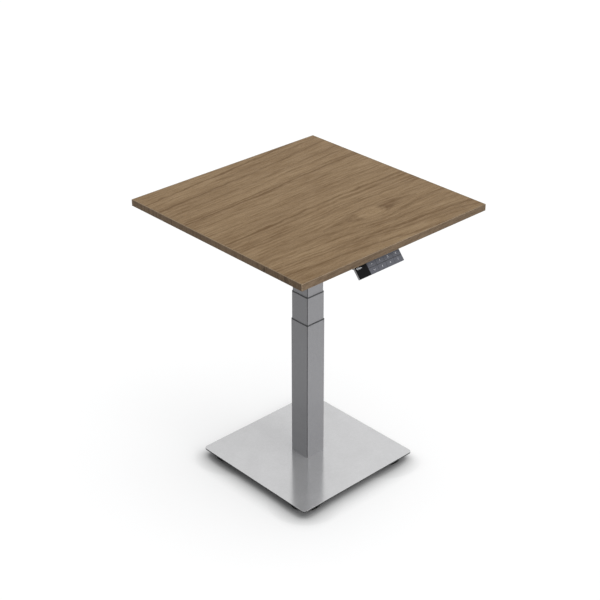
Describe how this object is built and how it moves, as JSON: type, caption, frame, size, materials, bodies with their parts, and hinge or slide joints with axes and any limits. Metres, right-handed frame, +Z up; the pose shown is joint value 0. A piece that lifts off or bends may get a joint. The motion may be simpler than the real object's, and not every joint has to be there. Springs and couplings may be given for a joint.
{
  "type": "telescoping pedestal table",
  "caption": "Square wood-look table on a telescoping square column with a thin square base plate and an inclined key handset under its front edge.",
  "frame": {"origin": "on the floor, on the column's axis", "axes": "+Z up; -Y is the front, where the handset is; the wood grain runs along X"},
  "size_m": [0.762, 0.7751, 0.935],
  "materials": {
    "silver_base": "satin silver powder coat",
    "silver_column": "satin silver powder coat",
    "collar_plastic": "moulded",
    "pad_rubber": "moulded",
    "zinc_steel": "zinc plated",
    "black_steel": "black powder coat",
    "bright_steel": "ground",
    "bearing_steel": "polished",
    "nut_brass": "machined",
    "glide_plastic": "moulded",
    "cast_aluminium": "die cast",
    "motor_black": "black",
    "frame_black": "black powder coat",
    "wood_top": "matt",
    "wood_edging": "matt",
    "black_plastic": "fine texture",
    "white_plastic": "moulded",
    "circuit_board": "solder mask",
    "lead_black": "matt",
    "clip_plastic": "moulded",
    "silver_plastic": "satin",
    "key_grey": "silk matt",
    "window_black": "glossy",
    "switch_metal": "satin"
  },
  "bodies": {
    "base": {"base_plate": "silver_base", "base_screws": "zinc_steel", "foot_pad_front_left": "pad_rubber", "foot_pad_front_right": "pad_rubber", "foot_pad_rear_right": "pad_rubber", "foot_pad_rear_left": "pad_rubber", "foot_plate": "black_steel", "fixed_spindle": "bright_steel", "outer_tube": "silver_column", "outer_collar": "collar_plastic"},
    "middle_stage": {"middle_tube": "silver_column", "middle_collar": "collar_plastic", "middle_glides": "glide_plastic", "middle_bracket": "black_steel", "nut_bearing": "bearing_steel", "support_pipe": "zinc_steel", "lift_nut": "nut_brass"},
    "drive_tube": {"drive_tube": "bright_steel", "spindle_nut": "nut_brass"},
    "inner_stage": {"inner_tube": "silver_column", "inner_glides": "glide_plastic", "thrust_bearing": "bearing_steel", "case_screws": "zinc_steel", "bearing_plate": "black_steel", "gear_case": "cast_aluminium", "motor": "motor_black", "head_plate": "frame_black", "head_screws": "zinc_steel", "arm_left": "frame_black", "arm_right": "frame_black", "table_top": "wood_top", "edging_front": "wood_edging", "edging_right": "wood_edging", "edging_rear": "wood_edging", "edging_left": "wood_edging", "wood_screws": "zinc_steel", "control_case": "black_plastic", "control_lid": "black_plastic", "control_board": "circuit_board", "mains_inlet": "black_plastic", "lead_plugs": "white_plastic", "motor_lead": "lead_black", "handset_lead": "lead_black", "lead_clips": "clip_plastic", "handset_housing": "silver_plastic", "handset_fascia": "key_grey", "display_window": "window_black", "display_module": "black_plastic", "handset_board": "circuit_board", "key_switches": "switch_metal"},
    "drive_screw": {"drive_screw": "bright_steel", "hexagon_driver": "zinc_steel"},
    "key_lower_1": {"key_lower_1": "key_grey"},
    "key_lower_2": {"key_lower_2": "key_grey"},
    "key_lower_3": {"key_lower_3": "key_grey"},
    "key_lower_4": {"key_lower_4": "key_grey"},
    "key_upper_1": {"key_upper_1": "key_grey"},
    "key_upper_2": {"key_upper_2": "key_grey"},
    "key_upper_3": {"key_upper_3": "key_grey"},
    "key_upper_4": {"key_upper_4": "key_grey"}
  },
  "joints": [
    {"name": "middle_lift", "type": "slide", "parent": "base", "child": "middle_stage", "axis": [0, 0, 1], "range_m": [-0.093, 0.157]},
    {"name": "inner_lift", "type": "slide", "parent": "middle_stage", "child": "inner_stage", "axis": [0, 0, 1], "range_m": [-0.093, 0.157]},
    {"name": "drive_tube_turn", "type": "hinge", "parent": "middle_stage", "child": "drive_tube", "pos_m": [0, 0, 0.15], "axis": [0, 0, 1], "continuous": true},
    {"name": "drive_screw_turn", "type": "hinge", "parent": "inner_stage", "child": "drive_screw", "pos_m": [0, 0, 0.6], "axis": [0, 0, 1], "continuous": true},
    {"name": "key_lower_1_press", "type": "slide", "parent": "inner_stage", "child": "key_lower_1", "axis": [0, 0.766, -0.6428], "range_m": [0, 0.0008], "stiffness_N_per_m": 1500, "springref_m": -0.0003},
    {"name": "key_lower_2_press", "type": "slide", "parent": "inner_stage", "child": "key_lower_2", "axis": [0, 0.766, -0.6428], "range_m": [0, 0.0008], "stiffness_N_per_m": 1500, "springref_m": -0.0003},
    {"name": "key_lower_3_press", "type": "slide", "parent": "inner_stage", "child": "key_lower_3", "axis": [0, 0.766, -0.6428], "range_m": [0, 0.0008], "stiffness_N_per_m": 1500, "springref_m": -0.0003},
    {"name": "key_lower_4_press", "type": "slide", "parent": "inner_stage", "child": "key_lower_4", "axis": [0, 0.766, -0.6428], "range_m": [0, 0.0008], "stiffness_N_per_m": 1500, "springref_m": -0.0003},
    {"name": "key_upper_1_press", "type": "slide", "parent": "inner_stage", "child": "key_upper_1", "axis": [0, 0.766, -0.6428], "range_m": [0, 0.0008], "stiffness_N_per_m": 1500, "springref_m": -0.0003},
    {"name": "key_upper_2_press", "type": "slide", "parent": "inner_stage", "child": "key_upper_2", "axis": [0, 0.766, -0.6428], "range_m": [0, 0.0008], "stiffness_N_per_m": 1500, "springref_m": -0.0003},
    {"name": "key_upper_3_press", "type": "slide", "parent": "inner_stage", "child": "key_upper_3", "axis": [0, 0.766, -0.6428], "range_m": [0, 0.0008], "stiffness_N_per_m": 1500, "springref_m": -0.0003},
    {"name": "key_upper_4_press", "type": "slide", "parent": "inner_stage", "child": "key_upper_4", "axis": [0, 0.766, -0.6428], "range_m": [0, 0.0008], "stiffness_N_per_m": 1500, "springref_m": -0.0003}
  ],
  "couplings": [
    {"joint": "inner_lift", "follows": "middle_lift", "ratio": 1},
    {"joint": "drive_tube_turn", "follows": "middle_lift", "rad_per_m": 628.32},
    {"joint": "drive_screw_turn", "follows": "middle_lift", "rad_per_m": 628.32}
  ]
}
